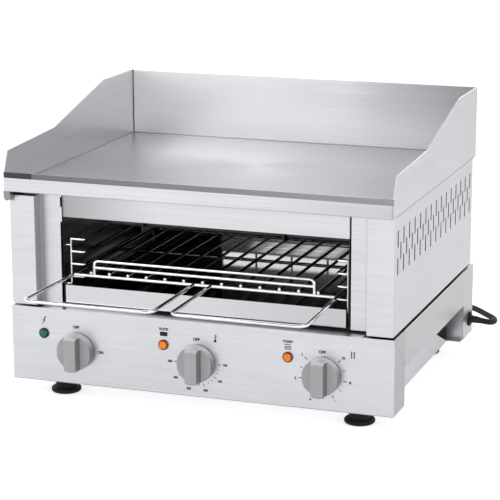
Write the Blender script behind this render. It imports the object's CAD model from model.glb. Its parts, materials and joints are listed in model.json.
import json
import math
import bpy
import bmesh
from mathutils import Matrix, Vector


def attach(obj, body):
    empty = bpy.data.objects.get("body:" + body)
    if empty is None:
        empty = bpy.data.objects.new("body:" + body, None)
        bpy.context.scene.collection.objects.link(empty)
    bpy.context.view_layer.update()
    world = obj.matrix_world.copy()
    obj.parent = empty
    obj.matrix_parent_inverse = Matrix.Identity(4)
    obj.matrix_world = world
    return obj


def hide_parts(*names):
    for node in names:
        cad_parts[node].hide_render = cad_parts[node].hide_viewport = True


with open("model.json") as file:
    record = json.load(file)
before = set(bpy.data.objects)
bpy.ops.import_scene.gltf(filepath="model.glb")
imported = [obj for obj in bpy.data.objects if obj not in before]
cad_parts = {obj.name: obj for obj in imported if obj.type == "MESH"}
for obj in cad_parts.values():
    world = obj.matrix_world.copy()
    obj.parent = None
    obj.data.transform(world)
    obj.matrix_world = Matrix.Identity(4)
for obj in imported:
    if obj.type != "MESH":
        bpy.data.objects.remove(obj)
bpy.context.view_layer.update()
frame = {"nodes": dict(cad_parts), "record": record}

NODES = frame["nodes"]
SCENE = bpy.context.scene
MM = 0.001
MID_Y = 144.0
FOOT_H = 24.0


def at(x, y, z):
    """Point in metres from millimetres measured from the control panel's lower front edge"""
    return Vector((x, y - MID_Y, z + FOOT_H)) * MM


# ---------- camera ----------

CAMERA_DOWN = 13.85
CAMERA_AROUND = 18.90
camera_data = bpy.data.cameras.new("camera")
camera_data.sensor_width = 36.0
camera_data.lens = 140.5
camera_data.shift_x = -0.0578
camera_data.shift_y = 0.0106
camera_data.clip_start = 0.05
camera_data.clip_end = 60.0
camera = bpy.data.objects.new("camera", camera_data)
camera.location = (0.8571, -2.3312, 0.7866)
camera.rotation_euler = (math.radians(90 - CAMERA_DOWN), 0.0, math.radians(CAMERA_AROUND))
SCENE.collection.objects.link(camera)
SCENE.camera = camera


# ---------- materials ----------

MIX_FACTOR, MIX_VECTOR_A, MIX_VECTOR_B, MIX_COLOUR_A, MIX_COLOUR_B = 0, 4, 5, 6, 7
MIX_VECTOR, MIX_COLOUR = 1, 2


class Nodes:
    """A material's node tree, with short calls that add one node each"""

    def __init__(self, name):
        self.material = bpy.data.materials.new(name)
        self.material.use_nodes = True
        self.tree = self.material.node_tree
        self.shader = self.tree.nodes["Principled BSDF"]
        self.place = self.add("ShaderNodeTexCoord").outputs["Object"]

    def add(self, kind, **settings):
        node = self.tree.nodes.new(kind)
        for key, value in settings.items():
            setattr(node, key, value)
        return node

    def link(self, source, target):
        self.tree.links.new(source, target)

    def put(self, target, value):
        if isinstance(value, bpy.types.NodeSocket):
            self.link(value, target)
        else:
            target.default_value = value

    def sockets(self, **values):
        for key, value in values.items():
            self.put(self.shader.inputs[key.replace("_", " ")], value)

    def math(self, operation, a, b=0.0):
        node = self.add("ShaderNodeMath", operation=operation)
        self.put(node.inputs[0], a)
        self.put(node.inputs[1], b)
        return node.outputs[0]

    def times(self, a, b):
        return self.math("MULTIPLY", a, b)

    def plus(self, a, b):
        return self.math("ADD", a, b)

    def axes(self, vector=None):
        """The three coordinates of a vector, or of the place in the piece's own frame"""
        node = self.add("ShaderNodeSeparateXYZ")
        self.link(vector or self.place, node.inputs[0])
        return node.outputs

    def stretch(self, scale):
        node = self.add("ShaderNodeMapping")
        self.link(self.place, node.inputs["Vector"])
        node.inputs["Scale"].default_value = scale
        return node.outputs[0]

    def noise(self, vector, scale, detail=3.0, roughness=0.5):
        node = self.add("ShaderNodeTexNoise")
        self.put(node.inputs["Vector"], vector)
        node.inputs["Scale"].default_value = scale
        node.inputs["Detail"].default_value = detail
        node.inputs["Roughness"].default_value = roughness
        return node.outputs[0]

    def span(self, value, low, high, source=(0.3, 0.7)):
        node = self.add("ShaderNodeMapRange")
        self.put(node.inputs["Value"], value)
        node.inputs["From Min"].default_value, node.inputs["From Max"].default_value = source
        node.inputs["To Min"].default_value = low
        node.inputs["To Max"].default_value = high
        return node.outputs[0]

    def ramp(self, value, *stops):
        node = self.add("ShaderNodeValToRGB")
        while len(node.color_ramp.elements) < len(stops):
            node.color_ramp.elements.new(0.5)
        for element, (position, colour) in zip(node.color_ramp.elements, stops):
            element.position = position
            element.color = (*colour, 1.0)
        self.put(node.inputs[0], value)
        return node.outputs[0]

    def mix(self, factor, a, b):
        node = self.add("ShaderNodeMix", data_type="RGBA")
        self.put(node.inputs[MIX_FACTOR], factor)
        for index, value in ((MIX_COLOUR_A, a), (MIX_COLOUR_B, b)):
            self.put(node.inputs[index], (*value, 1.0) if isinstance(value, tuple) else value)
        return node.outputs[MIX_COLOUR]

    def bump(self, height, strength, distance):
        node = self.add("ShaderNodeBump")
        self.put(node.inputs["Height"], height)
        node.inputs["Strength"].default_value = strength
        node.inputs["Distance"].default_value = distance
        self.link(node.outputs[0], self.shader.inputs["Normal"])


# how far a face's normal leans along X before the face counts as a side
SIDEWAYS = 0.7
# streaks and bands in a brushed sheet: how many across the grain and along it, in a metre
STREAKS_PER_M = (1300.0, 8.0)
BANDS_PER_M = (130.0, 2.5)
BAND_SHARE = 0.32
CLOUD = 0.02
TINT_RANGE = (0.9, 1.1)
FINE_BUMP = 0.0002
COARSE_BUMP = 0.001


def grain_coordinates(m, across, along):
    """Coordinates stretched along X on faces that look forwards or up, and along Y on the sides"""
    normal = m.axes(m.add("ShaderNodeNewGeometry").outputs["True Normal"])
    node = m.add("ShaderNodeMix", data_type="VECTOR")
    m.link(m.math("GREATER_THAN", m.math("ABSOLUTE", normal[0]), SIDEWAYS), node.inputs[MIX_FACTOR])
    m.link(m.stretch((along, across, across)), node.inputs[MIX_VECTOR_A])
    m.link(m.stretch((across, along, across)), node.inputs[MIX_VECTOR_B])
    return node.outputs[MIX_VECTOR]


def scaled(tint, factor):
    return tuple(min(1.0, c * factor) for c in tint)


def steel(name, tint, rough, spread=0.04, streak=0.03, dark=0.0, shaded=None):
    """Brushed sheet: long fine streaks in colour, roughness and height, and soft cloudy wear"""
    m = Nodes(name)
    lines = m.noise(grain_coordinates(m, *STREAKS_PER_M), 1.0, 4.0, 0.6)
    bands = m.noise(grain_coordinates(m, *BANDS_PER_M), 1.0, 3.0, 0.6)
    cloud = m.noise(m.place, 7.0, 4.0, 0.55)
    shade = m.plus(m.span(lines, -streak, streak), m.span(cloud, -CLOUD - dark, CLOUD))
    shade = m.plus(shade, m.span(bands, -streak * BAND_SHARE, streak * BAND_SHARE))
    low, high = (scaled(tint, factor) for factor in TINT_RANGE)
    colour = m.ramp(m.plus(shade, 0.5), (0.4, low), (0.6, high))
    if shaded:
        colour = shaded(m, colour)
    m.sockets(Base_Color=colour, Metallic=1.0, Anisotropic=0.35)
    wear = m.span(cloud, -CLOUD, CLOUD)
    m.sockets(Roughness=m.plus(m.span(lines, rough - spread, rough + spread), wear))
    m.bump(lines, 0.08, FINE_BUMP)
    return m.material


# how far a mask fades to either side of its limits, in millimetres
SOFT_EDGE = 0.4
CRISP_EDGE = 0.1


def inside(m, axis, low, high, fade=SOFT_EDGE):
    """One where the piece's own coordinate in metres lies between low and high; fade is in millimetres"""
    value = m.axes()[axis]
    rise = m.span(value, 0.0, 1.0, (low - fade * MM, low + fade * MM))
    fall = m.span(value, 1.0, 0.0, (high - fade * MM, high + fade * MM))
    return m.times(rise, fall)


def box_mask(m, low, high, fade=SOFT_EDGE):
    """One inside the box between two points of the panel's frame, in millimetres"""
    low, high = at(*low), at(*high)
    mask = inside(m, 0, low.x, high.x, fade)
    for axis in (1, 2):
        mask = m.times(mask, inside(m, axis, low[axis], high[axis], fade))
    return mask


# Two corners in millimetres, the tone that is painted between them, and how much of it: what the folded
# sheets mirror, and the seams between them
DARK = (0.07, 0.07, 0.075)
DUSK = (0.16, 0.16, 0.165)
BLACK = (0.01, 0.01, 0.01)
WHITE = (1.0, 1.0, 1.0)
SHEET_PATCHES = (
    # the left guard's inner face, on the dark side of the room
    ((-256.2, -11, 254), (-253.5, 405, 348), DUSK, 0.27),
    # the corners where the guard's walls and the plate meet
    ((-254.7, 404, 254), (-253.3, 406.7, 348), DARK, 0.75),
    ((-254, 404, 254), (254, 406.7, 255.7), DUSK, 0.7),
    ((-254.8, 20, 254), (-254.2, 405, 255.4), DUSK, 0.6),
    # the dark inside of the casing, seen through the vents and the gaps
    ((-253.3, 1, 101), (-252.3, 400, 249.9), BLACK, 1.0),
    ((252.3, 1, 101), (253.3, 400, 249.9), BLACK, 1.0),
    # the spout's nose, and the gap over the left post
    ((-260, -11, 236), (-247, 1, 249.95), DUSK, 0.72),
    ((-252, 1.3, 243.1), (-215, 26.4, 249.9), BLACK, 1.0),
    # seams under the guard's sides, the trim's lower edge and its right end
    ((-258, -2, 248.9), (-253.9, 410, 251), DARK, 1.0),
    ((253.9, -2, 248.9), (258, 410, 251), DARK, 1.0),
    ((-258, -13, 249.8), (258, -11, 250.6), DUSK, 0.75),
    ((253.9, -13, 250), (254.7, -11, 267.5), DUSK, 0.7),
    # the gap between the base and the body
    ((-253.9, 1.3, 97.5), (-215, 400, 98.3), BLACK, 1.0),
    ((215, 1.3, 97.5), (253.9, 400, 98.3), BLACK, 1.0),
    # the panel's lower edge, and the base's right side
    ((-258, -1, -0.5), (258, 1.1, 0.9), DUSK, 0.65),
    ((254.4, 1.3, -0.5), (258, 51, 98.3), DUSK, 0.33),
    ((254.4, 51, -0.5), (258, 356, 98.3), DUSK, 0.20),
    ((254.4, 356, -0.5), (258, 410, 98.3), DUSK, 0.15),
    # light caught in each post's inner bend
    ((-219.8, 17.6, 101), (-218.9, 21, 248), WHITE, 0.6),
    ((218.9, 17.6, 101), (219.8, 21, 248), WHITE, 0.6),
)
GUARD_REAR = ((-300, 404, 254), (300, 406.6, 350))
# The same, growing from nothing at the first X to the whole amount at the second
SHEET_FADES = (
    (*GUARD_REAR, WHITE, 1.0, 110, -200),
    (*GUARD_REAR, DUSK, 0.30, 90, 256),
    ((-200, 22, 213), (200, 25, 251), DUSK, 0.55, -60, -190),
    ((-300, -13, 250.7), (300, -11, 267.4), DUSK, 0.22, 60, 256),
)


# The upper right corner of the guard's rear wall: where it starts to darken, where it is darkest, how much
CORNER_X = (70, 256)
CORNER_Z = (275, 347)
CORNER_SHARE = 0.6
# The lip above the trim mirrors the dark side of the room, most at its left, and wholly in its left tab
LIP_Y = (-12, -10.9)
LIP_Z = (267.4, 274.6)
LIP_FADE_X = (-250, 200)
LIP_SHARES = (0.85, 0.62)
LEFT_TAB_END = -217
# Each post mirrors its own step beside its outer bend, and its inner face darkens towards it
POST_Z = (101, 248)
STEP_X = 220.4
STEP_HW = 0.6
STEP_Y = (1.0, 17.4)
STEP_SHARE = 0.62
FOLD_W = 8
FOLD_FROM = 0.8
FOLD_Y = (17.6, 21)
FOLD_SHARE = 0.5


def sheet_shades(m, colour):
    """What the folded sheets mirror of each other and of the room, and the dark seams between them"""
    x, _, z = m.axes()
    for low, high, tone, amount, start, full in SHEET_FADES:
        grown = m.span(x, 0.0, amount, (start * MM, full * MM))
        colour = m.mix(m.times(box_mask(m, low, high), grown), colour, tone)
    upwards = m.span(z, 0.0, 1.0, [at(0, 0, height).z for height in CORNER_Z])
    corner = m.times(upwards, m.span(x, 0.0, CORNER_SHARE, [edge * MM for edge in CORNER_X]))
    colour = m.mix(m.times(corner, box_mask(m, *GUARD_REAR)), colour, DUSK)
    lip = box_mask(m, (-300, LIP_Y[0], LIP_Z[0]), (300, LIP_Y[1], LIP_Z[1]))
    depth = m.span(x, *LIP_SHARES, [edge * MM for edge in LIP_FADE_X])
    colour = m.mix(m.times(lip, depth), colour, DARK)
    left_tab = box_mask(m, (-300, LIP_Y[0], LIP_Z[0]), (LEFT_TAB_END, LIP_Y[1], LIP_Z[1]))
    colour = m.mix(left_tab, colour, DARK)
    low_z, high_z = POST_Z
    for side in (-1, 1):
        edge = side * STEP_X
        step = box_mask(m, (edge - STEP_HW, STEP_Y[0], low_z), (edge + STEP_HW, STEP_Y[1], high_z))
        colour = m.mix(m.times(step, STEP_SHARE), colour, DUSK)
        inner = edge - side * FOLD_W
        fold = box_mask(m, (min(edge, inner), FOLD_Y[0], low_z), (max(edge, inner), FOLD_Y[1], high_z))
        fall = m.span(x, FOLD_SHARE, 0.0, ((edge - side * FOLD_FROM) * MM, inner * MM))
        colour = m.mix(m.times(fold, fall), colour, DUSK)
    for low, high, tone, amount in SHEET_PATCHES:
        colour = m.mix(m.times(box_mask(m, low, high, CRISP_EDGE), amount), colour, tone)
    return colour


# the cavity's rear wall is clean to the right of this X
CLEAN_FROM_X = -111
CLEAN_WALL = (0.34, 0.34, 0.345)
DULL_TRAY = (0.17, 0.17, 0.175)
DULL_TRAY_FADE = 30
BURNT_TRAY = (0.02, 0.02, 0.021)
CLEAN_TRAY = (0.60, 0.60, 0.61)
TRAY_FRONT = ((-200, 19, 100), (200, 21.4, 127))
TRAY_FRONT_SHARE = 0.34
TRAY_FRONT_FADE = 2
TRAY_RIGHT = 188
BURNT_PLATE = ((-170, 220, 250), (150, 500, 260))
BURNT_PLATE_SHARE = 0.40
BURNT_PLATE_FADE = 90
DULL_PLATE_Y = (270, 398)
DULL_PLATE_SHARE = 0.38


def stained_wall(m, colour):
    """The rear wall is clean behind the steam slots and dark to their left"""
    clean = box_mask(m, (CLEAN_FROM_X, 380, 0), (190, 450, 300))
    return m.mix(clean, colour, CLEAN_WALL)


def stained_tray(m, colour):
    """The tray is bright in front, less so to the right, and dulled further in; its rear wall is dark at
    the left and clean behind the steam slots"""
    colour = m.mix(box_mask(m, (-300, 70, 0), (300, 450, 300), DULL_TRAY_FADE), colour, DULL_TRAY)
    front = box_mask(m, *TRAY_FRONT, TRAY_FRONT_FADE)
    rightwards = m.span(m.axes()[0], 0.0, TRAY_FRONT_SHARE, (0.0, TRAY_RIGHT * MM))
    colour = m.mix(m.times(front, rightwards), colour, DUSK)
    colour = m.mix(box_mask(m, (-300, 381, 0), (CLEAN_FROM_X, 450, 300)), colour, BURNT_TRAY)
    return m.mix(box_mask(m, (CLEAN_FROM_X, 381, 0), (300, 450, 300)), colour, CLEAN_TRAY)


def dulled_plate(m, colour):
    """The plate is duller towards its rear, most of all at the left"""
    rear = m.span(m.axes()[1], 0.0, DULL_PLATE_SHARE, [at(0, y, 0).y for y in DULL_PLATE_Y])
    colour = m.mix(rear, colour, DUSK)
    burnt = box_mask(m, *BURNT_PLATE, BURNT_PLATE_FADE)
    return m.mix(m.times(burnt, BURNT_PLATE_SHARE), colour, DUSK)


def plastic(name, tint, rough, grain=900.0, depth=0.15, wear=0.12, metal=0.0, specular=0.5, worn=None):
    """Moulded or rubbery surface with a fine pitted texture"""
    m = Nodes(name)
    pits = m.noise(m.place, grain, 2.0, 0.6)
    cloud = m.noise(m.place, 45.0, 3.0, 0.5)
    colour = m.ramp(cloud, (0.35, scaled(tint, 1.0 - wear)), (0.65, scaled(tint, 1.0 + wear)))
    if worn:
        colour = worn(m, colour)
    m.sockets(Base_Color=colour, Metallic=metal)
    m.sockets(Roughness=m.span(pits, rough - 0.06, rough + 0.08))
    m.shader.inputs["Specular IOR Level"].default_value = specular
    m.bump(pits, depth, FINE_BUMP)
    return m.material


# colour, its greatest share, and the slopes of the surface between which it grows to that share
GREASY = ((0.10, 0.10, 0.105), 0.75, (0.45, 0.85))
POLISHED = ((0.85, 0.85, 0.86), 0.6, (0.2, 0.8))


def handled_knob(m, colour):
    """Greasy and dark on the flanks that look to the right, polished pale on the edges that look up"""
    x, _, z = m.axes(m.add("ShaderNodeNewGeometry").outputs["Normal"])
    for slope, (tone, share, limits) in ((x, GREASY), (z, POLISHED)):
        colour = m.mix(m.span(slope, 0.0, share, limits), colour, tone)
    return colour


DULL_FROM_Y = 50
DULL_FADE = 18


def chrome(name):
    """Plated wire: bright in front and dulled by the heat inside the cavity"""
    m = Nodes(name)
    cloud = m.noise(m.place, 60.0, 3.0, 0.5)
    bright = m.ramp(cloud, (0.3, (0.78, 0.78, 0.79)), (0.7, (0.90, 0.90, 0.91)))
    within = inside(m, 1, at(0, DULL_FROM_Y, 0).y, 1.0, DULL_FADE)
    m.sockets(Base_Color=m.mix(within, bright, (0.13, 0.125, 0.12)), Metallic=1.0)
    m.sockets(Roughness=m.span(cloud, 0.05, 0.13))
    m.bump(m.noise(m.place, 400.0, 2.0), 0.05, FINE_BUMP)
    return m.material


FACETS_PER_M = 420.0


def lens(name, edge, core, glow, centres):
    """Coloured lamp lens, lighter at its middle and dark at its rim; centres are the lamps' axes along X"""
    m = Nodes(name)
    x, _, z = m.axes()
    rise = m.math("POWER", m.math("SUBTRACT", z, at(0, 0, LAMP_Z).z), 2.0)
    off = None
    for centre in centres:
        gap = m.math("ABSOLUTE", m.math("SUBTRACT", x, centre * MM))
        off = gap if off is None else m.math("MINIMUM", off, gap)
    away = m.math("SQRT", m.plus(m.math("POWER", off, 2.0), rise))
    facets = m.add("ShaderNodeTexVoronoi")
    m.link(m.place, facets.inputs["Vector"])
    facets.inputs["Scale"].default_value = FACETS_PER_M
    pattern = m.span(facets.outputs["Distance"], 0.0, 0.3, (0.0, 1.0))
    rim = m.span(away, 0.0, 1.0, [share * LAMP_R * MM for share in LENS_RIM])
    tone = m.mix(m.math("MAXIMUM", rim, pattern), core, edge)
    m.sockets(Base_Color=tone, Roughness=m.span(facets.outputs["Distance"], 0.06, 0.2, (0.0, 1.0)))
    m.sockets(Emission_Color=tone, Emission_Strength=glow)
    m.sockets(Coat_Weight=0.2)
    m.shader.inputs["Specular IOR Level"].default_value = 0.25
    return m.material


def wool(name):
    """Matted mineral fibres"""
    m = Nodes(name)
    fibres = m.noise(m.stretch((300.0, 120.0, 500.0)), 1.0, 5.0, 0.7)
    colour = m.ramp(fibres, (0.3, (0.62, 0.58, 0.48)), (0.7, (0.86, 0.83, 0.74)))
    m.sockets(Base_Color=colour, Roughness=0.95)
    m.bump(fibres, 0.6, COARSE_BUMP)
    return m.material


LAMP_X = {"mains": -211.0, "plate": -45.5, "toast": 120.0}
LAMP_Z = 64.3
LAMP_R = 6.8
LENS_RIM = (0.55, 0.85)

M = {
    "sheet_steel": steel("sheet_steel", (0.71, 0.715, 0.735), 0.32, streak=0.075,
                         shaded=sheet_shades),
    "cavity_steel": steel("cavity_steel", (0.045, 0.045, 0.047), 0.28, dark=0.04, shaded=stained_wall),
    "tray_steel": steel("tray_steel", (0.74, 0.745, 0.765), 0.045, spread=0.012, shaded=stained_tray),
    "plate_steel": steel("plate_steel", (0.54, 0.545, 0.565), 0.36, streak=0.07, shaded=dulled_plate),
    "chrome_wire": chrome("chrome_wire"),
    "element_sheath": plastic("element_sheath", (0.045, 0.042, 0.04), 0.5, grain=600.0, depth=0.3,
                              wear=0.3, metal=0.6),
    "plated_steel": steel("plated_steel", (0.70, 0.70, 0.71), 0.3),
    "knob_grey": plastic("knob_grey", (0.37, 0.375, 0.385), 0.30, grain=1100.0, depth=0.08, wear=0.05,
                         worn=handled_knob),
    "black_plastic": plastic("black_plastic", (0.012, 0.012, 0.013), 0.5, specular=0.25),
    "foot_rubber": plastic("foot_rubber", (0.010, 0.010, 0.011), 0.6, grain=500.0, depth=0.2, wear=0.2,
                           specular=0.2),
    "cord_rubber": plastic("cord_rubber", (0.010, 0.010, 0.011), 0.55, grain=700.0, wear=0.2,
                           specular=0.2),
    "thermostat_beige": plastic("thermostat_beige", (0.60, 0.52, 0.38), 0.55),
    "regulator_brown": plastic("regulator_brown", (0.10, 0.045, 0.025), 0.4),
    "copper_tube": plastic("copper_tube", (0.72, 0.40, 0.24), 0.3, grain=500.0, depth=0.1, wear=0.1,
                           metal=1.0),
    "lamp_green": lens("lamp_green", (0.001, 0.008, 0.006), (0.009, 0.15, 0.095), glow=0.12,
                       centres=[LAMP_X["mains"]]),
    "lamp_amber": lens("lamp_amber", (0.11, 0.016, 0.002), (0.86, 0.21, 0.015), glow=0.25,
                       centres=[LAMP_X["plate"], LAMP_X["toast"]]),
    "terminal_white": plastic("terminal_white", (0.80, 0.80, 0.77), 0.35),
    "loom_red": plastic("loom_red", (0.42, 0.05, 0.035), 0.6, grain=500.0, depth=0.3),
    "insulation_wool": wool("insulation_wool"),
}

for entry in frame["record"]["subparts"]:
    mesh = NODES[entry["node"]].data
    mesh.materials.clear()
    mesh.materials.append(M[entry["material_slot"]])


# ---------- helpers for new pieces ----------

def finish_piece(name, bm, slot, body="casing", angle=35.0, smooth=True):
    """Turns the built mesh into a piece of the model; edges past the angle stay sharp"""
    mesh = bpy.data.meshes.new(name)
    bmesh.ops.recalc_face_normals(bm, faces=bm.faces)
    bm.to_mesh(mesh)
    bm.free()
    piece = bpy.data.objects.new(name, mesh)
    SCENE.collection.objects.link(piece)
    if smooth:
        mesh.shade_smooth()
        mesh.set_sharp_from_angle(angle=math.radians(angle))
    mesh.materials.append(M[slot])
    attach(piece, body)
    return piece


ARC_STEPS = 6
# the most of a straight stretch that a bend may take, and the turn in radians that needs no bend
LONGEST_BEND = 0.49
STRAIGHT = 0.01


def rounded(points, radius):
    """The path with every corner turned into an arc of that radius"""
    count = len(points)
    path = []
    for i, corner in enumerate(points):
        if i in (0, count - 1):
            path.append(corner.copy())
            continue
        before = points[i - 1] - corner
        after = points[i + 1] - corner
        reach = min(radius, LONGEST_BEND * before.length, LONGEST_BEND * after.length)
        before.normalize()
        after.normalize()
        half = before.angle(after) / 2
        if math.pi / 2 - half < STRAIGHT:
            path.append(corner.copy())
            continue
        inset = min(reach / math.tan(half), reach)
        bend = inset * math.tan(half)
        centre = corner + (before + after).normalized() * (bend / math.sin(half))
        start = corner + before * inset - centre
        end = corner + after * inset - centre
        for k in range(ARC_STEPS + 1):
            path.append(centre + start.slerp(end, k / ARC_STEPS).normalized() * bend)
    return path


def bridge(bm, rings):
    """Faces between rings of equally many points, and a cap at either end"""
    sides = len(rings[0])
    for low, high in zip(rings, rings[1:]):
        for k in range(sides):
            bm.faces.new((low[k], low[(k + 1) % sides], high[(k + 1) % sides], high[k]))
    bm.faces.new(list(reversed(rings[0])))
    bm.faces.new(rings[-1])


def sweep(bm, path, radius, sides=12):
    """Adds a round tube along the path; radius may be a number or one for each point"""
    count = len(path)
    radii = radius if isinstance(radius, list) else [radius] * count
    tangents = [(path[min(i + 1, count - 1)] - path[max(i - 1, 0)]).normalized() for i in range(count)]
    side = tangents[0].orthogonal().normalized()
    rings = []
    for point, tangent, r in zip(path, tangents, radii):
        side = (side - tangent * side.dot(tangent)).normalized()
        other = tangent.cross(side)
        turns = [2 * math.pi * k / sides for k in range(sides)]
        rings.append([bm.verts.new(point + r * (side * math.cos(a) + other * math.sin(a))) for a in turns])
    bridge(bm, rings)


def turned(bm, x, z, profile, sides):
    """Adds a solid of revolution about the axis through x and z, from pairs of radius and depth"""
    turns = [2 * math.pi * k / sides for k in range(sides)]
    bridge(bm, [[bm.verts.new(at(x + r * math.cos(a), y, z + r * math.sin(a))) for a in turns]
                for r, y in profile])


# ---------- cord ----------

CORD_R = 4.0
ROUTE = [
    (259, 246, 46), (260.7, 246, 46), (267, 246.8, 45.4), (272.9, 249, 44), (278.1, 252.7, 42.2),
    (282.3, 257.5, 40.4), (285.1, 263.1, 39.2), (286.6, 269.3, 38.6), (286.4, 275.6, 38.3),
    (284.8, 281.7, 38.2), (281.7, 287.3, 38.2), (275.6, 294.6, 38.2), (266.5, 305.5, 38.1),
    (255, 319.4, 38), (243.5, 332.8, 37.4), (232, 345.8, 35.8), (220.5, 358.4, 33.2),
    (208.5, 370.6, 29.6), (196, 382.3, 25), (182.5, 393, 19.8), (168, 402.3, 14.4), (153, 409, 9.6),
    (138.5, 412.4, 6.2), (128, 413, 4.6), (118, 413, 4.3),
]
COIL_CENTRE = (110.0, 358.0)
COIL_Z = 4.3
COIL_PITCH = 8.7
COIL_TURNS = 5
COIL_RINGS = 24
COIL_OUT_R = 55.0
COIL_IN_R = COIL_OUT_R - COIL_PITCH * COIL_TURNS / 2
COIL_TAIL = 34.0
RELIEF_R = (6.0, 5.7, 5.3, 4.8, 4.2)
RELIEF_SIDES = 20


def coil_point(turn):
    """The coil winds in on the lower layer, climbs where it turns back, and winds out on top"""
    u = turn - COIL_TURNS / 2
    r = COIL_IN_R + COIL_PITCH * abs(u)
    a = math.radians(90 + 360 * turn)
    climb = min(max(0.5 + 2 * u, 0.0), 1.0)
    return (COIL_CENTRE[0] + r * math.cos(a), COIL_CENTRE[1] + r * math.sin(a), COIL_Z + COIL_PITCH * climb)


coil = [coil_point(i / COIL_RINGS) for i in range(COIL_TURNS * COIL_RINGS + 1)]
end = coil[-1]
coil += [(end[0] - COIL_TAIL / 2, end[1], end[2]), (end[0] - COIL_TAIL, end[1], end[2])]
cord_points = [Vector(p) * MM for p in ROUTE + coil]


def make_cord():
    """The whole mains cord, from the gland through the coil to the plug"""
    curve = bpy.data.curves.new("mains_cord", "CURVE")
    curve.dimensions = "3D"
    curve.bevel_depth = CORD_R * MM
    curve.bevel_resolution = 5
    curve.use_fill_caps = True
    line = curve.splines.new("POLY")
    line.points.add(len(cord_points) - 1)
    for point, place in zip(line.points, cord_points):
        point.co = (*place, 1.0)
    line.use_smooth = True
    piece = bpy.data.objects.new("mains_cord", curve)
    SCENE.collection.objects.link(piece)
    curve.materials.append(M["cord_rubber"])
    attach(piece, "casing")
    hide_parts("power_cord", "cord_coil")
    return piece


cord = make_cord()
bm = bmesh.new()
relief = [cord_points[0].lerp(cord_points[1], t) for t in (0.0, 0.5, 1.0)] + cord_points[2:4]
sweep(bm, relief, [r * MM for r in RELIEF_R], RELIEF_SIDES)
strain_relief = finish_piece("strain_relief", bm, "black_plastic")


# ---------- wire rack and its supports ----------

WIRE = 2.25 * MM
THIN = 2.0 * MM
RACK_Z = 140.3
RACK_TOP = 144.0
RACK_HW = 176.4
RACK_FRONT = -118.5
RACK_REAR = 295.0
RACK_Y = 20.0
HANDLE_IN = 11.5
HANDLE_OUT = 180.9
HANDLE_BEND = 12.0
RACK_MID = 165.0
RAIL_HW = 147.5
RAIL_Z = (151.5, 160.3)
RAIL_BEND = 6.0
WIRE_SIDES = 14
BARS_EACH_SIDE = 6
BAR_PITCH = 25.4
BAR_OVERHANG = (0.5, 1.0)
BAR_TIP = 0.8


def make_rack():
    """The rack as bent wires: the frame with its two handles, the rail in front and the bars"""
    bm = bmesh.new()
    loop = [at(x, y, RACK_Z) for x, y in (
        (-HANDLE_IN, RACK_Y), (-HANDLE_IN, RACK_FRONT), (-HANDLE_OUT, RACK_FRONT), (-RACK_HW, RACK_Y),
        (-RACK_HW, RACK_REAR), (RACK_HW, RACK_REAR), (RACK_HW, RACK_Y), (HANDLE_OUT, RACK_FRONT),
        (HANDLE_IN, RACK_FRONT), (HANDLE_IN, RACK_Y))]
    sweep(bm, rounded(loop, HANDLE_BEND * MM), WIRE, WIRE_SIDES)
    for y in (RACK_Y, RACK_MID):
        sweep(bm, [at(-RACK_HW, y, RACK_Z), at(RACK_HW, y, RACK_Z)], WIRE, WIRE_SIDES)
    low, high = RAIL_Z
    rail = [at(x, RACK_Y, z) for x, z in (
        (-RAIL_HW, RACK_Z), (-RAIL_HW, high), (RAIL_HW, high), (RAIL_HW, RACK_Z))]
    sweep(bm, rounded(rail, RAIL_BEND * MM), THIN, WIRE_SIDES)
    sweep(bm, [at(-RAIL_HW, RACK_Y, low), at(RAIL_HW, RACK_Y, low)], THIN, WIRE_SIDES)
    ahead, past = BAR_OVERHANG
    for i in range(-BARS_EACH_SIDE, BARS_EACH_SIDE + 1):
        x = i * BAR_PITCH
        bar = [at(x, y, RACK_TOP) for y in (RACK_Y - ahead, RACK_Y, RACK_REAR + past)]
        sweep(bm, bar, [THIN * BAR_TIP, THIN, THIN])
    rack = finish_piece("rack_wires", bm, "chrome_wire", "rack")
    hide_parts("wire_rack")


make_rack()

SUPPORT_Y = (27.0, 300.0)
SUPPORT_WIRE = 1.7 * MM
UPRIGHT_WIRE = 1.3 * MM
STUD_WIRE = 1.1 * MM
LEVELS = [135.95 + 16.4 * k for k in range(4)]
RUNNER_BEND = 4.0
UPRIGHT_FOOT = 120.0
STUD_Z = (126.0, 177.0)
WALL_X = 190.7


def make_support(side, name, upright, runner):
    """One side's wire ladder: four runners between two uprights, and the studs in the cavity's wall"""
    bm = bmesh.new()
    front, rear = SUPPORT_Y
    for z in LEVELS:
        path = [(upright, front), (runner, front), (runner, rear), (upright, rear)]
        points = [at(side * x, y, z) for x, y in path]
        sweep(bm, rounded(points, RUNNER_BEND * MM), SUPPORT_WIRE)
    for y in SUPPORT_Y:
        sweep(bm, [at(side * upright, y, z) for z in (UPRIGHT_FOOT, LEVELS[-1])], UPRIGHT_WIRE)
        for z in STUD_Z:
            sweep(bm, [at(side * x, y, z) for x in (upright, WALL_X)], STUD_WIRE)
    support = finish_piece(name + "_wires", bm, "chrome_wire")
    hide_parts(name)


make_support(-1, "rack_support_left", 182.5, 164.0)
make_support(1, "rack_support_right", 188.6, 174.5)


# ---------- knobs ----------

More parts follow.
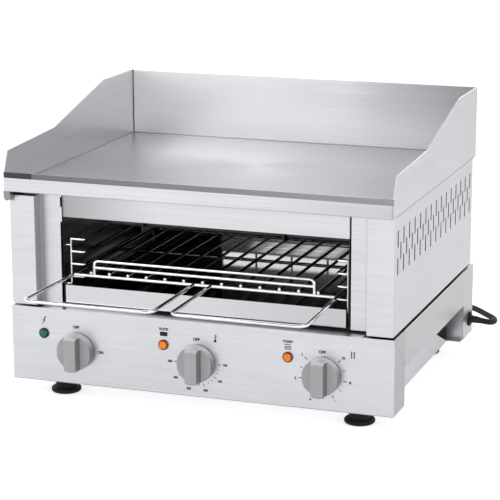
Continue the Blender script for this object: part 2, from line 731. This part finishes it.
KNOB_X = (-165.0, 0.0, 165.0)
KNOB_Z = 45.0
KNOB_RIM = 23.35
KNOB_PROFILE = (
    (0.0, 25.4), (4.3, 25.4), (7.1, 25.2), (8.0, 24.9), (8.4, 24.2), (8.6, 20.0), (8.8, 16.0),
    (9.2, 14.4), (10.0, 13.4), (11.4, 13.0), (14.6, 12.8), (18.4, 12.8), (21.6, 12.9), (22.7, 12.7),
    (KNOB_RIM, 12.0),
)
KNOB_FACE = 12.8
KNOB_SKIRT = ((23.55, -1.2), (23.75, -1.8), (23.75, -10.6), (23.55, -11.6), (22.95, -12.4))
GRIP_FALL_FROM = 19.4
GRIP_FALL = 3.0
KNOB_ROWS = 44
KNOB_SIDES = 72
KNOB_SHARP = 28.0
KNOB_WELD = 0.02


def knob_height(x, z):
    """How far the knob's face stands ahead of the panel; the grip's ends slope down to the rim"""
    x = abs(x)
    height = KNOB_PROFILE[-1][1]
    for (x0, h0), (x1, h1) in zip(KNOB_PROFILE, KNOB_PROFILE[1:]):
        if x0 <= x <= x1:
            height = h0 + (h1 - h0) * (x - x0) / (x1 - x0)
            break
    past = (math.hypot(x, z) - GRIP_FALL_FROM) / (KNOB_RIM - GRIP_FALL_FROM)
    if past > 0 and height > KNOB_FACE:
        height -= GRIP_FALL * past ** 2 * (height - KNOB_FACE) / (KNOB_PROFILE[0][1] - KNOB_FACE)
    return height


def make_knob(name, centre_x, node, body):
    """The knob's face with its grip as one grid of heights, walled down to the panel, and the skirt"""
    bm = bmesh.new()
    columns = [x for x, _ in KNOB_PROFILE]
    columns = [-x for x in reversed(columns[1:])] + columns
    grid = []
    for i in range(KNOB_ROWS + 1):
        z = KNOB_RIM * math.sin(math.pi * (i / KNOB_ROWS - 0.5))
        half = math.sqrt(max(KNOB_RIM * KNOB_RIM - z * z, 0.0))
        row = []
        for x in columns:
            x = max(-half, min(half, x))
            row.append(bm.verts.new(at(centre_x + x, -knob_height(x, z), KNOB_Z + z)))
        grid.append(row)
    for low, high in zip(grid, grid[1:]):
        for k in range(len(columns) - 1):
            bm.faces.new((low[k], low[k + 1], high[k + 1], high[k]))
    bmesh.ops.remove_doubles(bm, verts=bm.verts, dist=KNOB_WELD * MM)
    edge = [e for e in bm.edges if e.is_boundary]
    walls = bmesh.ops.extrude_edge_only(bm, edges=edge)["geom"]
    for v in walls:
        if isinstance(v, bmesh.types.BMVert):
            v.co.y = at(0, KNOB_SKIRT[0][1], 0).y
    turned(bm, centre_x, KNOB_Z, KNOB_SKIRT, KNOB_SIDES)
    knob = finish_piece(name, bm, "knob_grey", body, KNOB_SHARP)
    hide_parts(node)


for which, x in zip(("mains", "plate", "toast"), KNOB_X):
    make_knob(which + "_knob_grip", x, which + "_knob", which + "_control")


# ---------- markings on the panel ----------

PRINT_Y = -0.08
TYPE_SIZE = 1.78
TYPE_THICKNESS = 0.03
TYPE_WEIGHT = 0.25


def plate_of(bm, corners):
    """A thin inked patch on the panel from its outline in millimetres"""
    bm.faces.new([bm.verts.new(at(x, PRINT_Y, z)) for x, z in corners])


def stroke(bm, x0, z0, x1, z1, width):
    """A straight inked line between two points"""
    along = Vector((x1 - x0, z1 - z0)).normalized() * width / 2
    across = Vector((-along.y, along.x))
    plate_of(bm, [(x0 + across.x, z0 + across.y), (x0 - across.x, z0 - across.y),
                  (x1 - across.x, z1 - across.y), (x1 + across.x, z1 + across.y)])


def write(name, text, x, z, height):
    """A printed word, centred, with capitals of that height"""
    curve = bpy.data.curves.new(name, "FONT")
    curve.body = text
    curve.size = height * MM * TYPE_SIZE
    curve.align_x = "CENTER"
    curve.align_y = "CENTER"
    curve.extrude = TYPE_THICKNESS * MM
    curve.offset = TYPE_WEIGHT * MM
    piece = bpy.data.objects.new(name, curve)
    piece.location = at(x, PRINT_Y, z)
    piece.rotation_euler = (math.radians(90), 0, 0)
    SCENE.collection.objects.link(piece)
    curve.materials.append(M["black_plastic"])
    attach(piece, "casing")


def around(knob, degrees, radius):
    """Point beside a knob, clockwise from the top"""
    a = math.radians(degrees)
    return KNOB_X[knob] + radius * math.sin(a), KNOB_Z + radius * math.cos(a)


WORDS = (
    ("word_off_mains", "OFF", -166, 75.8, 2.9),
    ("word_on_mains", "ON", -132.5, 45.4, 2.9),
    ("word_off_plate", "OFF", -1, 75.2, 2.9),
    ("word_off_toast", "OFF", 164.5, 74.7, 2.9),
    ("word_plate", "PLATE", -45, 84.6, 2.4),
    ("word_toast", "TOAST", 120, 84.0, 2.4),
)
for word in WORDS:
    write(*word)
PLATE_MARKS = ((90, "100"), (126, "150"), (163, "200"), (199, "250"), (233, "300"), (268, "350"))
for degrees, text in PLATE_MARKS:
    write("plate_" + text, text, *around(1, degrees, 37.0), 2.2)
TOAST_MARKS = ((47, "10"), (100, "8"), (153, "6"), (206, "4"), (259, "2"), (313, "1"))
for degrees, text in TOAST_MARKS:
    write("toast_" + text, text, *around(2, degrees, 36.0), 2.6)

# knob, angles, inner and outer radius, and width of the scale's long and short lines
DIAL_LINES = (
    (1, [degrees for degrees, _ in PLATE_MARKS], 27.5, 31.5, 0.9),
    (1, (103, 114, 138, 150, 175, 187), 27.5, 29.8, 0.8),
    (2, [degrees for degrees, _ in TOAST_MARKS], 27.0, 31.5, 1.0),
    (2, (73.5, 126.5, 179.5, 232.5, 286), 27.0, 30.5, 0.8),
)
bm = bmesh.new()
for knob, angles, inner, outer, width in DIAL_LINES:
    for degrees in angles:
        stroke(bm, *around(knob, degrees, inner), *around(knob, degrees, outer), width)
# lightning flash over the mains lamp
plate_of(bm, [(-207.6, 87.2), (-209.0, 87.0), (-212.4, 80.9), (-210.2, 81.3)])
plate_of(bm, [(-208.6, 82.3), (-210.8, 81.9), (-213.6, 75.6), (-213.1, 75.5)])
# solid plate over the plate lamp
plate_of(bm, [(-50.1, 75.6), (-39.9, 75.6), (-39.9, 81.2), (-50.1, 81.2)])
# heated bars over the toast lamp
for z in (74.4, 76.1, 77.8):
    stroke(bm, 116.4, z, 123.6, z, 0.8)
stroke(bm, 116.4, 74.0, 116.4, 78.2, 0.8)
stroke(bm, 123.6, 74.0, 123.6, 78.2, 0.8)
stroke(bm, 115.6, 80.2, 124.4, 80.2, 0.9)
# thermometer beside the plate knob
stroke(bm, 24.2, 76.2, 24.2, 84.0, 1.2)
bulb = [math.radians(a) for a in range(0, 360, 30)]
plate_of(bm, [(24.2 + 1.9 * math.cos(a), 75.6 + 1.9 * math.sin(a)) for a in bulb])
for z in (79.6, 81.6, 83.6):
    stroke(bm, 25.0, z, 27.2, z, 0.5)
# rising heat beside the toast knob
for x in (202.0, 205.4):
    for k in range(4):
        dx = 0.6 if k % 2 else -0.6
        stroke(bm, x + dx, 70.2 + 2.2 * k, x - dx, 72.4 + 2.2 * k, 1.35)
finish_piece("panel_marks", bm, "black_plastic", smooth=False)


# ---------- lamps' domed lenses ----------

LENS_DOME = ((6.7, -0.3), (6.7, -1.0), (6.3, -1.6), (5.2, -2.3), (3.6, -2.8), (1.8, -3.1))
LENS_SIDES = 40
for which, x in LAMP_X.items():
    bm = bmesh.new()
    turned(bm, x, LAMP_Z, LENS_DOME, LENS_SIDES)
    finish_piece(which + "_lamp_dome", bm, "lamp_green" if which == "mains" else "lamp_amber")


# ---------- CAD pieces: smooth their round faces ----------

ROUND_ANGLE = 25
for piece in NODES.values():
    piece.data.shade_smooth()
    piece.data.set_sharp_from_angle(angle=math.radians(ROUND_ANGLE))

# folded and cut sheet edges are slightly round, so each of them catches a line of light
ROUNDED_SHEETS = (
    "control_panel", "front_post_left", "front_post_right", "front_trim", "splash_guard_left",
    "splash_guard_right", "splash_guard_back", "side_panel_right", "header_fascia", "base_side_left",
    "base_side_right",
)
SHEET_EDGE = 0.45
SHARP_ANGLE = 40
FLAT_ANGLE = 1
WELD_GAP = 0.01
for name in ROUNDED_SHEETS:
    NODES[name].data.shade_flat()
    weld = NODES[name].modifiers.new("weld", "WELD")
    weld.merge_threshold = WELD_GAP * MM
    flat = NODES[name].modifiers.new("flat", "DECIMATE")
    flat.decimate_type = "DISSOLVE"
    flat.angle_limit = math.radians(FLAT_ANGLE)
    edge = NODES[name].modifiers.new("edge", "BEVEL")
    edge.width = SHEET_EDGE * MM
    edge.segments = 2
    edge.limit_method = "ANGLE"
    edge.angle_limit = math.radians(SHARP_ANGLE)


# ---------- floor and light ----------

FLOOR_SEEN = 0.62
FLOOR_MIRRORED = 0.25
FLOOR_HW = 14.0
FLOOR_Z = -0.0004


def make_floor():
    """White paper under the object, which takes its shadow"""
    bm = bmesh.new()
    corners = ((-1, -1), (1, -1), (1, 1), (-1, 1))
    bm.faces.new([bm.verts.new((x * FLOOR_HW, y * FLOOR_HW, FLOOR_Z)) for x, y in corners])
    mesh = bpy.data.meshes.new("floor")
    bm.to_mesh(mesh)
    bm.free()
    floor = bpy.data.objects.new("floor", mesh)
    SCENE.collection.objects.link(floor)
    m = Nodes("floor_paper")
    cloud = m.noise(m.place, 3.0, 2.0)
    paper = m.ramp(cloud, (0.3, (0.87, 0.87, 0.87)), (0.7, (0.90, 0.90, 0.90)))
    m.sockets(Base_Color=paper, Roughness=0.9)
    m.shader.inputs["Specular IOR Level"].default_value = 0.1
    path = m.add("ShaderNodeLightPath")
    seen = m.times(path.outputs["Is Camera Ray"], FLOOR_SEEN)
    mirrored = m.times(path.outputs["Is Glossy Ray"], FLOOR_MIRRORED)
    m.sockets(Emission_Color=(1.0, 1.0, 1.0, 1.0), Emission_Strength=m.plus(seen, mirrored))
    mesh.materials.append(m.material)


make_floor()

# grey of the studio by height: a bright horizon under a dimmer ceiling
SKY_STOPS = ((0.0, 1.0), (0.18, 1.0), (0.34, 0.13), (1.0, 0.13))
SKY_STRENGTH = 2.7
SKY_BLUE = 1.01
world = bpy.data.worlds.new("studio")
SCENE.world = world
world.use_nodes = True
tree = world.node_tree
sky = tree.nodes["Background"]
coordinates = tree.nodes.new("ShaderNodeTexCoord")
split = tree.nodes.new("ShaderNodeSeparateXYZ")
tree.links.new(coordinates.outputs["Generated"], split.inputs[0])
ramp = tree.nodes.new("ShaderNodeValToRGB")
while len(ramp.color_ramp.elements) < len(SKY_STOPS):
    ramp.color_ramp.elements.new(0.5)
for element, (position, grey) in zip(ramp.color_ramp.elements, SKY_STOPS):
    element.position = position
    element.color = (grey, grey, grey * SKY_BLUE, 1.0)
tree.links.new(split.outputs[2], ramp.inputs[0])
tree.links.new(ramp.outputs[0], sky.inputs["Color"])
sky.inputs["Strength"].default_value = SKY_STRENGTH


def softbox(name, place, target, width, height, power):
    """A rectangular studio lamp that faces its target; sizes in metres and power in watts"""
    lamp = bpy.data.lights.new(name, "AREA")
    lamp.shape = "RECTANGLE"
    lamp.size = width
    lamp.size_y = height
    lamp.energy = power
    box = bpy.data.objects.new(name, lamp)
    box.location = place
    box.rotation_euler = (Vector(target) - Vector(place)).to_track_quat("-Z", "Y").to_euler()
    SCENE.collection.objects.link(box)


softbox("key_softbox", (-1.5, -2.2, 1.9), (0, 0, 0.15), 1.4, 1.4, 14.0)
softbox("fill_softbox", (2.4, -1.2, 1.4), (0, 0, 0.15), 1.6, 1.6, 6.0)
softbox("top_softbox", (0.0, 0.4, 2.4), (0, 0, 0.2), 2.0, 1.6, 11.0)

SCENE.view_settings.view_transform = "Standard"
